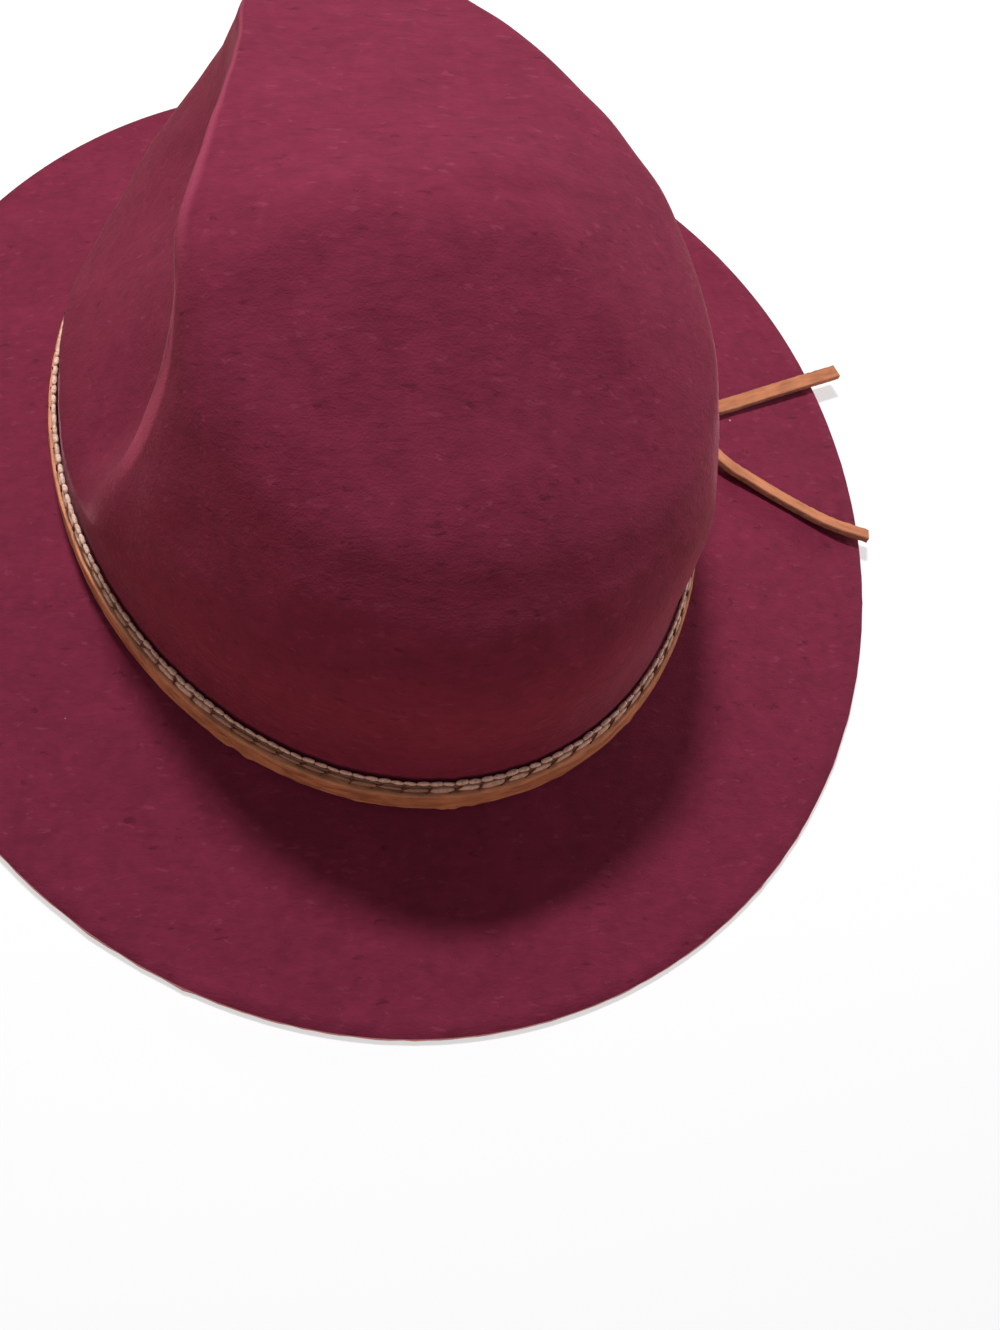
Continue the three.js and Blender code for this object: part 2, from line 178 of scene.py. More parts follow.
def read_table(rows, at):
    """A smooth line through the rows of a table, whose first column is the key."""
    key = rows[:, 0]
    step = np.diff(key)[:, None]
    rate = np.diff(rows[:, 1:], axis=0) / step
    slope = np.empty_like(rows[:, 1:])
    slope[0], slope[-1] = rate[0], rate[-1]
    slope[1:-1] = (rate[:-1] * step[1:] + rate[1:] * step[:-1]) / (step[1:] + step[:-1])
    at = np.asarray(at, float)
    i = np.clip(np.searchsorted(key, at, side="right") - 1, 0, len(key) - 2)
    width = step[i]
    t = np.clip((at - key[i]) / width[..., 0], 0, 1)[..., None]
    return ((1 + 2 * t) * (1 - t) ** 2 * rows[i, 1:] + t * (1 - t) ** 2 * width * slope[i]
            + t * t * (3 - 2 * t) * rows[i + 1, 1:] + t * t * (t - 1) * width * slope[i + 1])


def round_table(rows):
    """A table in degrees carried on past both of its ends, so that its line closes smoothly."""
    before, after = rows[-2:].copy(), rows[:2].copy()
    before[:, 0] -= 360
    after[:, 0] += 360
    return np.vstack([before, rows, after])


def between(rows, at):
    """Straight lines through the rows of a table of two columns."""
    return np.interp(at, rows[:, 0], rows[:, 1])


def drawn(points, faces):
    """A smooth curve drawn to control points: parabolas that join halfway between them."""
    curve = [points[0]]
    for i in range(1, len(points) - 1):
        start = points[0] if i == 1 else (points[i - 1] + points[i]) / 2
        end = points[i + 1] if i == len(points) - 2 else (points[i] + points[i + 1]) / 2
        for k in range(1, faces[i - 1] + 1):
            t = k / faces[i - 1]
            curve.append((1 - t) ** 2 * start + 2 * t * (1 - t) * points[i] + t * t * end)
    return curve


def head_oval(degrees):
    """Points of the head oval and the way straight out from each."""
    a = np.radians(degrees)
    nil = np.zeros_like(a)
    point = np.stack([HEAD_WIDTH * np.sin(a), -HEAD_LENGTH * np.cos(a), nil], -1)
    out = np.stack([np.sin(a) / HEAD_WIDTH, -np.cos(a) / HEAD_LENGTH, nil], -1)
    return point, out / np.linalg.norm(out, axis=-1, keepdims=True)


def uneven(points, size, seed):
    """Soft unevenness, mostly between -1 and 1, whose lumps are about `size` millimetres long."""
    waves = 24
    chance = np.random.default_rng(seed)
    way = chance.normal(size=(waves, 3))
    way /= np.linalg.norm(way, axis=1)[:, None]
    rate = 2 * math.pi / (size * chance.uniform(0.7, 1.6, waves))
    phase = chance.uniform(0, 2 * math.pi, waves)
    return np.sin(points @ (way * rate[:, None]).T + phase).sum(-1) / math.sqrt(waves)


# ---------------------------------------------------------------- making meshes


def place(points):
    """From millimetres round the head oval to metres in the hat's frame."""
    return (np.asarray(points, float) + HEAD_CENTRE) * MM


def in_scene(name, data):
    """A new object at the origin, unturned and unscaled."""
    made = bpy.data.objects.new(name, data)
    bpy.context.scene.collection.objects.link(made)
    return made


def keep_values(mesh, name, values):
    """A number or a direction kept at each point of a mesh, which trees and materials read."""
    values = np.asarray(values, np.float32)
    kind, field = ("FLOAT", "value") if values.ndim == 1 else ("FLOAT_VECTOR", "vector")
    mesh.attributes.new(name, kind, "POINT").data.foreach_set(field, values.ravel())


def path_object(name, points, closed=False, **values):
    """Points joined by edges, with named values that a tree reads."""
    count = len(points)
    edges = [(k, (k + 1) % count) for k in range(count if closed else count - 1)]
    mesh = bpy.data.meshes.new(name)
    mesh.from_pydata(place(points).tolist(), edges, [])
    for key, value in values.items():
        keep_values(mesh, key, value)
    return in_scene(name, mesh)


def plain_mesh(name, path, tree, sizes):
    """Run a node tree on a path and keep what it makes as a plain mesh whose faces point outwards."""
    modifier = path.modifiers.new("maker", "NODES")
    modifier.node_group = tree
    for item in tree.interface.items_tree:
        if item.in_out == "INPUT" and item.name in sizes:
            modifier[item.identifier] = sizes[item.name]
    bpy.context.view_layer.update()
    graph = bpy.context.evaluated_depsgraph_get()
    mesh = bpy.data.meshes.new_from_object(path.evaluated_get(graph), preserve_all_data_layers=True,
                                           depsgraph=graph)
    path.modifiers.remove(modifier)
    bpy.data.objects.remove(path)
    mesh.name = name
    work = bmesh.new()
    work.from_mesh(mesh)
    if work.calc_volume(signed=True) < 0:
        bmesh.ops.reverse_faces(work, faces=work.faces)
    work.to_mesh(mesh)
    work.free()
    return in_scene(name, mesh)


def joined(name, parts):
    """Several plain meshes of one finish as one piece."""
    work = bmesh.new()
    for part in parts:
        work.from_mesh(part.data)
    mesh = bpy.data.meshes.new(name)
    work.to_mesh(mesh)
    work.free()
    mesh.materials.append(parts[0].data.materials[0])
    for part in parts:
        bpy.data.objects.remove(part)
    return in_scene(name, mesh)


def kept(piece, node_name):
    """A finished piece that stands in the place of a solid and rides on the one body."""
    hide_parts(node_name)
    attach(piece, "root")


# ---------------------------------------------------------------- nodes of any tree


def fill(tree, node, inputs):
    """Link or set a node's inputs. A colour is given without its alpha."""
    for key, value in inputs.items():
        socket = node.inputs[key]
        if isinstance(value, bpy.types.NodeSocket):
            tree.links.new(value, socket)
        else:
            socket.default_value = (*value, 1) if socket.type == "RGBA" else value


def add(tree, kind, inputs=None, output=0, **settings):
    """A new node's output, with the node's inputs linked or set."""
    node = tree.nodes.new(kind)
    for key, value in settings.items():
        setattr(node, key, value)
    fill(tree, node, inputs or {})
    return node.outputs[output] if len(node.outputs) else node


def maths(tree, operation, *values):
    return add(tree, "ShaderNodeMath", dict(enumerate(values)), operation=operation)


def product(tree, first, *others):
    for other in others:
        first = maths(tree, "MULTIPLY", first, other)
    return first


def total(tree, first, *others):
    for other in others:
        first = maths(tree, "ADD", first, other)
    return first


def difference(tree, first, other):
    return maths(tree, "SUBTRACT", first, other)


def vector(tree, x=0.0, y=0.0, z=0.0):
    return add(tree, "ShaderNodeCombineXYZ", {0: x, 1: y, 2: z})


def noise(tree, where, scale, detail=2.0, **more):
    return add(tree, "ShaderNodeTexNoise", {"Vector": where, "Scale": scale, "Detail": detail, **more})


# ---------------------------------------------------------------- trees that make pieces


def new_tree(name, sizes):
    """A tree with one geometry in and out, and a named input for each size."""
    tree = bpy.data.node_groups.new(name, "GeometryNodeTree")
    tree.interface.new_socket("Geometry", in_out="INPUT", socket_type="NodeSocketGeometry")
    tree.interface.new_socket("Geometry", in_out="OUTPUT", socket_type="NodeSocketGeometry")
    for label, value in sizes.items():
        kind = {int: "NodeSocketInt", float: "NodeSocketFloat"}.get(type(value), "NodeSocketMaterial")
        socket = tree.interface.new_socket(label, in_out="INPUT", socket_type=kind)
        if kind != "NodeSocketMaterial":
            socket.default_value = value
    return tree, tree.nodes.new("NodeGroupInput").outputs


def number(tree, name):
    return add(tree, "GeometryNodeInputNamedAttribute", {"Name": name}, data_type="FLOAT")


def store(tree, geometry, name, value):
    return add(tree, "GeometryNodeStoreNamedAttribute",
               {"Geometry": geometry, "Name": name, "Value": value}, data_type="FLOAT", domain="POINT")


def position(tree):
    """The x, y and z of each point."""
    return add(tree, "ShaderNodeSeparateXYZ", {0: add(tree, "GeometryNodeInputPosition")}).node.outputs


def path_curve(tree, geometry, **sampling):
    """The path as a curve whose normal is the way its face looks."""
    curve = add(tree, "GeometryNodeMeshToCurve", {"Mesh": geometry})
    mode = "LENGTH" if "Length" in sampling else "COUNT"
    curve = add(tree, "GeometryNodeResampleCurve", {"Curve": curve, **sampling}, mode=mode)
    face = add(tree, "GeometryNodeInputNamedAttribute", {"Name": "face"}, data_type="FLOAT_VECTOR")
    return add(tree, "GeometryNodeSetCurveNormal", {"Curve": curve, "Normal": face}, mode="FREE"), face


def rectangle(tree, width, height):
    return add(tree, "GeometryNodeCurvePrimitiveQuadrilateral", {"Width": width, "Height": height},
               mode="RECTANGLE")


def pushed_out(tree, geometry, push):
    """The surface moved straight out by a distance at each point."""
    offset = add(tree, "ShaderNodeVectorMath", {0: add(tree, "GeometryNodeInputNormal"), "Scale": push},
                 operation="SCALE")
    return add(tree, "GeometryNodeSetPosition", {"Geometry": geometry, "Offset": offset})


def finish_tree(tree, geometry, finish):
    geometry = add(tree, "GeometryNodeRealizeInstances", {"Geometry": geometry})
    geometry = add(tree, "GeometryNodeSetShadeSmooth", {"Geometry": geometry, "Shade Smooth": True})
    geometry = add(tree, "GeometryNodeSetMaterial", {"Geometry": geometry, "Material": finish})
    add(tree, "NodeGroupOutput", {"Geometry": geometry})
    return tree


def leather_strip_tree():
    """A strip cut from hide, laid along its path, with soft creases and slightly torn cut sides."""
    tree, size = new_tree("leather_strip", {
        "Width": 0.0044, "Thickness": 0.0018, "Rounding": 0.0003, "Step": 0.0006, "Crease Depth": 0.0002,
        "Tear Depth": 0.0003, "Cut Side": 0.9, "Lower Edge": 0.72, "Section Points": 44, "Seed": 0.0,
        "Leather": None})
    curve, _ = path_curve(tree, size["Geometry"], Length=size["Step"])
    curve = store(tree, curve, "along", add(tree, "GeometryNodeSplineParameter", output="Length"))

    section = rectangle(tree, size["Thickness"], size["Width"])
    section = add(tree, "GeometryNodeFilletCurve", {
        "Curve": section, "Count": 3, "Radius": size["Rounding"], "Limit Radius": True}, mode="POLY")
    section = add(tree, "GeometryNodeResampleCurve", {
        "Curve": section, "Count": size["Section Points"]}, mode="COUNT")
    for name, axis, whole in (("across", "Y", "Width"), ("over", "X", "Thickness")):
        share = maths(tree, "DIVIDE", position(tree)[axis], product(tree, size[whole], 0.5))
        section = store(tree, section, name, share)
    strip = add(tree, "GeometryNodeCurveToMesh", {
        "Curve": curve, "Profile Curve": section, "Fill Caps": True})

    along = total(tree, number(tree, "along"), size["Seed"])
    across, over = number(tree, "across"), number(tree, "over")

    def relief(rates, scale, level, depth):
        """Noise that changes at its own rates along, across and over the strip, about nought."""
        where = vector(tree, *(product(tree, way, rate) for way, rate in zip((along, across, over), rates)))
        return product(tree, difference(tree, noise(tree, where, scale, detail=3.0), level), depth)

    creases = relief((45.0, 1.6, 0.5), scale=2.2, level=0.5, depth=size["Crease Depth"])
    torn = relief((600.0, 1.0, 1.2), scale=1.0, level=0.45, depth=size["Tear Depth"])
    at_cut = maths(tree, "GREATER_THAN", maths(tree, "ABSOLUTE", across), size["Cut Side"])
    at_lower_edge = maths(tree, "GREATER_THAN", across, size["Lower Edge"])
    lumps = product(tree, number(tree, "lump"), at_lower_edge, MM)
    strip = pushed_out(tree, strip, total(tree, creases, product(tree, torn, at_cut), lumps))
    return finish_tree(tree, strip, size["Leather"])


BLUNT, FULLER = 0.8, 0.14               # how much blunter a strand is than an egg: its ends, its flanks
THINNEST = 0.4                          # the height of a quite loose strand, against a full one


def strand(tree, length, height, thick):
    """A short plump strand lying along X."""
    ball = add(tree, "GeometryNodeMeshUVSphere", {"Segments": 8, "Rings": 8, "Radius": 1.0})
    ball = add(tree, "GeometryNodeTransform", {"Geometry": ball, "Rotation": (0, math.pi / 2, 0)})
    x, y, z = position(tree)[:3]
    blunt = product(tree, maths(tree, "SIGN", x), maths(tree, "POWER", maths(tree, "ABSOLUTE", x), BLUNT))
    from_axis = total(tree, product(tree, y, y), total(tree, product(tree, z, z), 1e-4))
    fuller = maths(tree, "POWER", from_axis, -FULLER)
    unit = blunt, product(tree, y, fuller), product(tree, z, fuller)
    half = [product(tree, whole, 0.5) for whole in (length, height, thick)]
    shaped = vector(tree, *(product(tree, a, b) for a, b in zip(unit, half)))
    return add(tree, "GeometryNodeSetPosition", {"Geometry": ball, "Position": shaped})


def lower_strand(tree, size, loose, wobble):
    """The large strand: plump where the lacing is full, thin and standing out where it is loose."""
    fullness = number(tree, "fullness")
    plump = total(tree, wobble, total(tree, product(tree, fullness, 1 - THINNEST), THINNEST))
    shape = strand(tree, size["Strand Length"], size["Strand Height"], size["Strand Thickness"])
    shift = vector(tree, 0.0, product(tree, size["Strand Height"], -0.46),
                   product(tree, loose, size["Loop Opening"]))
    scale = vector(tree, 1.0, plump, total(tree, 0.3, product(tree, plump, 0.7)))
    return shape, shift, scale, vector(tree, 0.0, 0.0, wobble)


def upper_strand(tree, size, loose, wobble):
    """One of the two small strands over each large one: it sinks in where the lacing is loose."""
    length = product(tree, size["Strand Length"], 0.53)
    shape = strand(tree, length, size["Upper Height"], size["Strand Thickness"])
    shift = vector(tree, product(tree, length, 0.5), product(tree, size["Upper Height"], 0.78),
                   difference(tree, product(tree, loose, -0.0002), 0.0002))
    scale = vector(tree, 1.0, total(tree, 0.85, wobble),
                   difference(tree, total(tree, 0.9, wobble), product(tree, loose, 0.45)))
    return shape, shift, scale, vector(tree, 0.0, 0.0, product(tree, wobble, 3.0))


def slanting_thread(tree, size, _loose, wobble):
    """The thread that crosses the lacing where two large strands meet."""
    shape = strand(tree, product(tree, size["Strand Height"], 1.75), size["Thread Thickness"],
                   size["Thread Thickness"])
    shift = vector(tree, product(tree, size["Strand Length"], -0.51), -0.0006,
                   product(tree, size["Strand Thickness"], 0.42))
    slant = total(tree, size["Thread Slant"], product(tree, wobble, 4.0))
    return shape, shift, (1, 1, 1), vector(tree, 0.0, 0.0, slant)


def laced_edge_tree():
    """Lacing round the band: each cell has a plump lower strand, two small upper ones and a thread."""
    tree, size = new_tree("laced_edge", {
        "Cells": 96, "Strand Length": 0.0061, "Strand Height": 0.0025, "Strand Thickness": 0.0015,
        "Upper Height": 0.0018, "Thread Thickness": 0.00045, "Loop Opening": 0.001, "Wobble": 0.1,
        "Thread Slant": 1.05, "Lump Height": 0.0004, "Slit Shade Points": 360, "Seed": 3, "Lace": None})
    parts = []
    for lay, per_cell in ((lower_strand, 1.0), (upper_strand, 2.0), (slanting_thread, 1.0)):
        curve, face = path_curve(tree, size["Geometry"], Count=product(tree, size["Cells"], per_cell))
        rotation = add(tree, "FunctionNodeAxesToRotation",
                       {"Primary Axis": add(tree, "GeometryNodeInputTangent"), "Secondary Axis": face},
                       primary_axis="X", secondary_axis="Z")
        loose = difference(tree, 1.0, number(tree, "fullness"))
        chance = add(tree, "FunctionNodeRandomValue", {"Min": -1.0, "Max": 1.0, "Seed": size["Seed"]},
                     output=1, data_type="FLOAT")
        # Painted shade: the loose lower strands are coloured a dim brown
        curve = store(tree, curve, "lace_shade", loose if lay is lower_strand else 0.0)
        shape, shift, scale, turn = lay(tree, size, loose, product(tree, chance, size["Wobble"]))
        shape = store(tree, shape, "thread", 1.0 if lay is slanting_thread else 0.0)
        laid = add(tree, "GeometryNodeInstanceOnPoints",
                   {"Points": curve, "Instance": shape, "Rotation": rotation, "Scale": scale})
        laid = add(tree, "GeometryNodeTranslateInstances",
                   {"Instances": laid, "Translation": shift, "Local Space": True})
        parts.append(add(tree, "GeometryNodeRotateInstances",
                         {"Instances": laid, "Rotation": turn, "Local Space": True}))

    # A dark brown strip behind the strands, painted shade in the slits between them, coloured with the
    # thread's brown
    curve, _ = path_curve(tree, size["Geometry"], Count=size["Slit Shade Points"])
    slit_shade = rectangle(tree, product(tree, size["Strand Thickness"], 0.4),
                        product(tree, size["Strand Height"], 0.6))
    slit_shade = add(tree, "GeometryNodeCurveToMesh", {"Curve": curve, "Profile Curve": slit_shade})
    parts.append(store(tree, slit_shade, "thread", 0.85))

    lacing = tree.nodes.new("GeometryNodeJoinGeometry")
    for part in reversed(parts):
        tree.links.new(part, lacing.inputs[0])
    lacing = add(tree, "GeometryNodeRealizeInstances", {"Geometry": lacing.outputs[0]})
    lumps = difference(tree, noise(tree, add(tree, "GeometryNodeInputPosition"), 900.0), 0.5)
    lacing = pushed_out(tree, lacing, product(tree, lumps, size["Lump Height"]))
    return finish_tree(tree, lacing, size["Lace"])


# ---------------------------------------------------------------- felt

AROUND = 320                                        # columns round the hat
DEGREES = np.arange(AROUND) * 360 / AROUND          # where each of them stands
COLUMN_FACES = [5, 3, 6, 5, 5, 3, 5, 8, 10, 8, 4]   # faces round each bend of a column, from the brim up
RIDGE_BEND = 9                                      # the bend over the crease ridge
TOP_ROWS = 34
FAR = 9.0                                           # a gap too wide to matter

LUMPS = ((0.30, 34), (0.14, 15))                    # the felt's unevenness: height and length of its lumps
RAGGED = ((0.12, 5), (0.06, 2))                     # the same for its cut edge
CALM_POLE, CALM_EDGE, CALM_RISE = 12, 4, 10         # lumps fade out near the pole and near the cut edge
BEHIND_BAND = (BREAK - 3, BREAK + 17)               # and there are none behind the band
EDGE_RINGS = ((0.08, 0.10), (0.28, 0.24), (0.5, 0.28), (0.72, 0.24), (0.92, 0.10))  # how far down, bulge


def crest_line(x, y):
    """How far behind the front a place on the top lies, along a crest that bends back on the left."""
    return y - CREST_BOW * np.maximum(x, 0) ** 2


def felt_columns():
    """The outer side of the felt: rows from the brim's cut edge to the pole, each a ring of points."""
    a = np.radians(DEGREES)
    point, out = head_oval(DEGREES)
    rx, ry, height, foot, hollow, waist_share, outer, inner = read_table(round_table(RIDGE), DEGREES).T

    width = (np.where(np.cos(a) > 0, BRIM["front"], BRIM["back"]) * np.cos(a) ** 2
             + np.where(np.sin(a) > 0, BRIM["left"], BRIM["right"]) * np.sin(a) ** 2)
    rise = np.clip((np.sin(a) ** 2 - LYING_ARC) / (1 - LYING_ARC), 0, None)
    edge_top = FELT + BRIM_LIFT * rise ** LIFT_CURVE

    def at(reach, z):
        p = point + out * np.broadcast_to(reach, DEGREES.shape)[:, None]
        p[:, 2] = z
        return p

    def on_slope(reach):
        share = 1 - reach / (width - BRIM_FLAT)
        return at(reach, edge_top + (BREAK - edge_top) * share ** BRIM_SWEEP)

    def turned(x, y, z):
        c, s = math.cos(CREASE_TURN), math.sin(CREASE_TURN)
        return np.stack([c * x + s * y, c * y - s * x, z], -1)

    def spine(x, y):
        middle = crest_line(x, y)
        return sum(read_table(SPINE, middle + d)[..., 0] for d in CREST_SOFTENING) / len(CREST_SOFTENING)

    edge = at(width, edge_top)
    brim = [at(width - BRIM_FLAT, edge_top), *(on_slope(share * width) for share in BRIM_BENDS),
            on_slope(BRIM_INSIDE), at(0, BREAK)]
    foot_point = at(-FOOT_INSET, BREAK + foot)
    ridge = turned(rx, ry, height)
    waist = foot_point + (ridge - foot_point) * waist_share[:, None] - out * hollow[:, None]
    apart = np.linalg.norm(ridge - waist, axis=1)
    shoulder = ridge + (waist - ridge) * np.minimum(outer / apart, SHOULDER_MOST)[:, None]
    wall = [at(0, BREAK + WALL_FOOT),
            at(-WALL_LEAN * (WALL_BEND - WALL_FOOT), BREAK + WALL_BEND), foot_point, waist, shoulder, ridge]

    reach = np.hypot(rx - POLE[0], ry - POLE[1])
    ridge_rise = height - read_table(SPINE, crest_line(rx, ry))[:, 0]

    def on_top(t):
        x = rx + (POLE[0] - rx) * t
        y = ry + (POLE[1] - ry) * t
        return turned(x, y, spine(x, y) + ridge_rise * (1 - t) ** 2)

    lip = np.minimum(inner / reach, LIP_MOST)
    second = lip + (1 - lip) * SECOND_LIP
    first_top, second_top = on_top(lip), on_top(second)
    column = [edge] + drawn([*brim, *wall, first_top, (first_top + second_top) / 2], COLUMN_FACES)
    start = (lip + second) / 2
    step = column[-1] - on_top(start)
    for k in range(1, TOP_ROWS):
        s = k / TOP_ROWS
        column.append(on_top(start + (1 - start) * s) + step * (1 - s) ** 3)
    pole = np.append(turned(*POLE, 0.0)[:2], on_top(np.ones_like(lip))[:, 2].mean())
    return np.array(column), pole


def outward(rows):
    """The way straight out of the surface at each point of its rows."""
    around = np.roll(rows, -1, 1) - np.roll(rows, 1, 1)
    normal = np.cross(around, np.gradient(rows, axis=0))
    return normal / np.linalg.norm(normal, axis=2)[..., None]


def lumpy(points, sizes, seed):
    """Unevenness of several sizes, each a height and a length, in millimetres."""
    return sum(height * uneven(points, size, seed + k) for k, (height, size) in enumerate(sizes))


def blocked_by_hand(rows, along):
    """The rows with the slight unevenness of a hat blocked and brushed by hand."""
    calm = np.clip((along[-1] - along) / CALM_POLE, 0, 1) * np.clip((along - CALM_EDGE) / CALM_RISE, 0, 1)
    calm[(rows[..., 2] > BEHIND_BAND[0]) & (rows[..., 2] < BEHIND_BAND[1])] = 0
    return rows + outward(rows) * (lumpy(rows, LUMPS, SEED) * calm)[..., None]


def cut_edge(outer, inner):
    """Rings of points down the brim's cut edge, which is slightly rounded and slightly ragged."""
    _, out = head_oval(DEGREES)
    ragged = lumpy(outer, RAGGED, SEED + 2)
    return np.array([outer * (1 - share) + inner * share + out * (bulge + ragged * min(1, bulge * 5))[:, None]
                     for share, bulge in EDGE_RINGS])


def felt_faces(count):
    """Faces of the outer side, the inner side, the top of both and the cut edge between them."""
    i = np.arange(AROUND)
    n = (i + 1) % AROUND
    inside, edge = count * AROUND, 2 * count * AROUND
    pole = edge + len(EDGE_RINGS) * AROUND
    faces = []
    for a in range(0, inside - AROUND, AROUND):
        b = a + AROUND
        faces += np.stack([a + i, a + n, b + n, b + i], 1).tolist()
        faces += (inside + np.stack([a + i, b + i, b + n, a + n], 1)).tolist()
    last = inside - AROUND
    faces += np.stack([last + i, last + n, np.full(AROUND, pole)], 1).tolist()
    faces += np.stack([inside + last + n, inside + last + i, np.full(AROUND, pole + 1)], 1).tolist()
    rings = [0, *range(edge, pole, AROUND), inside]
    for a, b in zip(rings[:-1], rings[1:]):
        faces += np.stack([a + i, b + i, b + n, a + n], 1).tolist()
    return faces


def highlight_lines(rows, from_ridge):
    """Where pale highlights are painted: along the ridge in front of the left pinch, and down the fold behind
    it.

    The gap from such a line is counted in the line's own half widths.
    """
    degrees = np.broadcast_to(DEGREES, from_ridge.shape)
    fold_y, fold_width, fold_highlight = np.moveaxis(read_table(FOLD, rows[..., 2]), -1, 0)
    behind = rows[..., 1] - fold_y
    behind = np.where(behind < 0, behind / fold_width, behind / BEHIND_FOLD)
    near = (degrees > FOLD_ARC[0]) & (degrees < FOLD_ARC[1]) & (from_ridge < 0)
    return {
        "ridge_gap": np.clip(from_ridge / between(RIDGE_WIDTH, degrees), -FAR, FAR),
        "ridge_highlight": between(RIDGE_HIGHLIGHT, degrees),
        "fold_gap": np.where(near, np.clip(behind, -FAR, FAR), FAR),
        "fold_highlight": np.where(near, fold_highlight, 0),
    }


def felt_hat():
    """The felt as one closed wall, with what its material reads kept at its points."""
    rows, pole = felt_columns()
    along = np.zeros(rows.shape[:2])
    along[1:] = np.cumsum(np.linalg.norm(np.diff(rows, axis=0), axis=2), axis=0)
    rows = blocked_by_hand(rows, along)
    normal = outward(rows)
    normal[:2] = (0, 0, 1)
    inner = rows - FELT * normal
    edge = cut_edge(rows[0], inner[0])
    sides = [part.reshape(-1, 3) for part in (rows, inner, edge)]
    points = np.vstack([*sides, [pole], [pole - [0, 0, FELT]]])

    mesh = bpy.data.meshes.new("felt_crown_and_brim")
    mesh.from_pydata(place(points).tolist(), [], felt_faces(len(rows)))
    mesh.polygons.foreach_set("use_smooth", [True] * len(mesh.polygons))
    mesh.update()
    in_edge = np.zeros(len(points))
    in_edge[2 * len(sides[0]):-2] = 1
    keep_values(mesh, "cut_edge", in_edge)
    ridge_row = 1 + sum(COLUMN_FACES[:RIDGE_BEND]) + COLUMN_FACES[RIDGE_BEND] // 2
    not_outside = np.zeros(len(points) - len(sides[0]))
    for name, values in highlight_lines(rows, along - along[ridge_row]).items():
        keep_values(mesh, name, np.concatenate([values.ravel(), not_outside]))
    return in_scene("felt_crown_and_brim", mesh)


# ---------------------------------------------------------------- materials


def new_material(name):
    """A material, its node tree and the node that shades it."""
    made = bpy.data.materials.new(name)
    made.use_nodes = True
    return made, made.node_tree, made.node_tree.nodes["Principled BSDF"]


def object_place(tree):
    return add(tree, "ShaderNodeTexCoord", output="Object")


def kept_value(tree, name):
    """A number that the mesh keeps at its points."""
    return add(tree, "ShaderNodeAttribute", output="Fac", attribute_name=name)


def grey(level):
    return level, level, level


def ramp(tree, value, *stops):
    """The colour read off a ramp, whose stops are a value and a colour each."""
    colour = add(tree, "ShaderNodeValToRGB", {0: value})
    elements = colour.node.color_ramp.elements
    for k, (where, tint) in enumerate((stops[0], stops[-1])):
        elements[k].position, elements[k].color = where, (*tint, 1)
    for where, tint in stops[1:-1]:
        elements.new(where).color = (*tint, 1)
    return colour


def mix(tree, share, a, b, blend="MIX"):
    return add(tree, "ShaderNodeMix", {0: share, 6: a, 7: b}, output=2, data_type="RGBA", blend_type=blend)


def fading(tree, value, near, far):
    """One up to the near value, falling smoothly to nought at the far one."""
    return add(tree, "ShaderNodeMapRange", {0: value, 1: near, 2: far, 3: 1.0, 4: 0.0},
               interpolation_type="SMOOTHSTEP")


def bump(tree, height, strength, distance):
    return add(tree, "ShaderNodeBump", {"Height": height, "Strength": strength, "Distance": distance})


def flecks(tree, where, scale, size, share):
    """Small marks of one size, in a share of the cells of a regular scatter."""
    middle = add(tree, "ShaderNodeTexVoronoi", {"Vector": where, "Scale": scale})
    chance = add(tree, "ShaderNodeSeparateColor", {0: middle.node.outputs["Color"]}).node.outputs
    here = maths(tree, "LESS_THAN", chance[0], share)
    reach = maths(tree, "MULTIPLY_ADD", chance[1], size, 0.4 * size)
    return product(tree, fading(tree, maths(tree, "DIVIDE", middle, reach), 0.3, 1.0), here)


def highlight_share(tree, line):
    """How strong the painted highlight of one of the two lines is."""
    gap = maths(tree, "ABSOLUTE", kept_value(tree, line + "_gap"))
    return product(tree, fading(tree, gap, 0.1, 1.0), kept_value(tree, line + "_highlight"))


